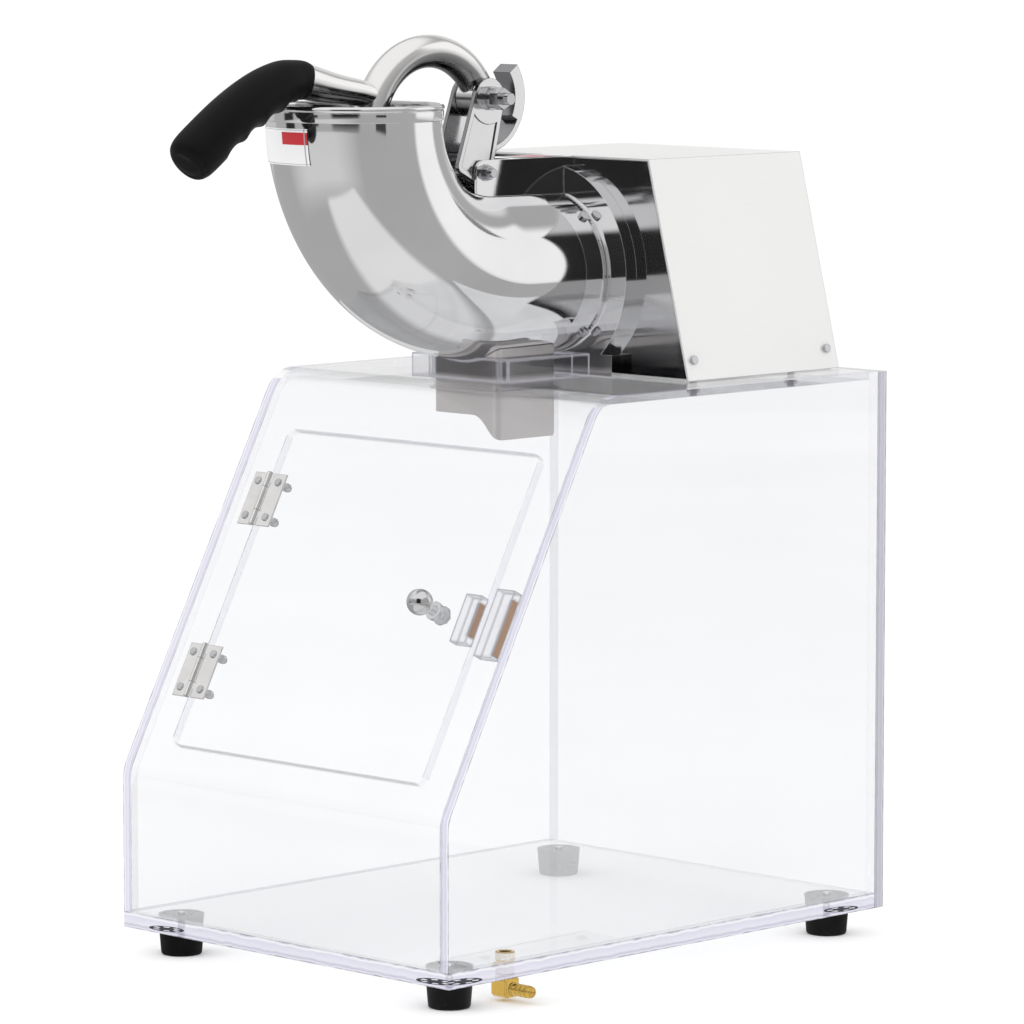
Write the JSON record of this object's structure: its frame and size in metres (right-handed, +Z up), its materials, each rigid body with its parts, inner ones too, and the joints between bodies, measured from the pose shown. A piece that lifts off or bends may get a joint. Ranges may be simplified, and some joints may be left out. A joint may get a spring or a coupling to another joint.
{
  "type": "shaved ice machine",
  "caption": "Motor-driven ice shaver with a curved polished hopper, hinged press lever and a clear acrylic cabinet with a sloping door that catches the ice.",
  "frame": {"origin": "on the floor under the centre of the cabinet's footprint", "axes": "+Z up, -Y towards the sloping door, +X to the right seen from the front"},
  "size_m": [0.3225, 0.5075, 0.6228],
  "materials": {
    "clear_acrylic": "clear cast acrylic, polished edges",
    "polished_steel": "mirror polished stainless steel",
    "satin_steel": "fine brushed stainless steel sheet",
    "cast_alloy": "bright cast alloy",
    "fastener_steel": "bright stainless fasteners",
    "black_rubber": "moulded matt black rubber",
    "drain_brass": "machined brass",
    "seal_tape": "white thread tape",
    "catch_strip": "brown passivated strip",
    "motor_paint": "dark enamel",
    "core_steel": "stacked electrical steel",
    "black_plastic": "moulded black plastic",
    "rocker_red": "red rocker",
    "capacitor_grey": "light grey can"
  },
  "bodies": {
    "machine": {"base_plate": "clear_acrylic", "back_panel": "clear_acrylic", "right_side_panel": "clear_acrylic", "left_side_panel": "clear_acrylic", "front_shell": "clear_acrylic", "chute_collar": "clear_acrylic", "rubber_feet": "black_rubber", "foot_screws": "fastener_steel", "drain_elbow": "drain_brass", "thread_tape": "seal_tape", "hinge_leaves_frame": "satin_steel", "hinge_pins": "fastener_steel", "frame_hinge_screws": "fastener_steel", "strike_block": "clear_acrylic", "strike_plate": "catch_strip", "hopper_elbow": "polished_steel", "rim_ring": "polished_steel", "barrel_flange": "cast_alloy", "shaft_seal": "black_rubber", "barrel_screws": "fastener_steel", "ice_chute": "satin_steel", "motor_cover": "satin_steel", "front_plate": "polished_steel", "rear_panel": "satin_steel", "machine_tray": "satin_steel", "tray_bolts": "fastener_steel", "cover_screws": "fastener_steel", "switch_body": "black_plastic", "power_inlet": "black_plastic", "motor_housing": "motor_paint", "stator_core": "core_steel", "front_end_bell": "cast_alloy", "rear_end_bell": "cast_alloy", "motor_bearings": "fastener_steel", "run_capacitor": "capacitor_grey", "neck_bracket": "polished_steel", "lower_pivot_bolt": "fastener_steel", "lower_pivot_nut": "fastener_steel"},
    "door": {"door_panel": "clear_acrylic", "hinge_leaves_door": "satin_steel", "door_hinge_screws": "fastener_steel", "door_knob": "polished_steel", "knob_nut": "fastener_steel", "catch_block": "clear_acrylic", "catch_magnet": "catch_strip"},
    "rotor": {"rotor_shaft": "fastener_steel", "rotor_core": "core_steel", "cutter_disc": "cast_alloy", "cutter_knives": "fastener_steel", "cutter_nut": "fastener_steel", "cooling_fan": "black_plastic"},
    "link": {"link_casting": "cast_alloy", "upper_pivot_bolt": "fastener_steel", "upper_pivot_washers": "fastener_steel", "upper_pivot_nut": "fastener_steel"},
    "press_arm": {"gooseneck_tube": "polished_steel", "handle_tube": "polished_steel", "hand_grip": "black_rubber", "pusher_plate": "polished_steel"},
    "rocker": {"switch_rocker": "rocker_red"}
  },
  "joints": [
    {"name": "door_swing", "type": "hinge", "parent": "machine", "child": "door", "pos_m": [-0.1206, -0.14617, 0.25061], "axis": [0, -0.4731, -0.881], "range_deg": [0, 110]},
    {"name": "cutter_spin", "type": "hinge", "parent": "machine", "child": "rotor", "pos_m": [0, 0, 0.4595], "axis": [0, 1, 0], "continuous": true},
    {"name": "link_swing", "type": "hinge", "parent": "machine", "child": "link", "pos_m": [0, -0.0345, 0.53], "axis": [1, 0, 0], "range_deg": [-10, 0]},
    {"name": "press_lever", "type": "hinge", "parent": "link", "child": "press_arm", "pos_m": [0, -0.028, 0.5795], "axis": [-1, 0, 0], "range_deg": [0, 60]},
    {"name": "switch_rock", "type": "hinge", "parent": "machine", "child": "rocker", "pos_m": [-0.09832, 0.084, 0.48413], "axis": [0.2467, 0, 0.9691], "range_deg": [0, 19]}
  ]
}
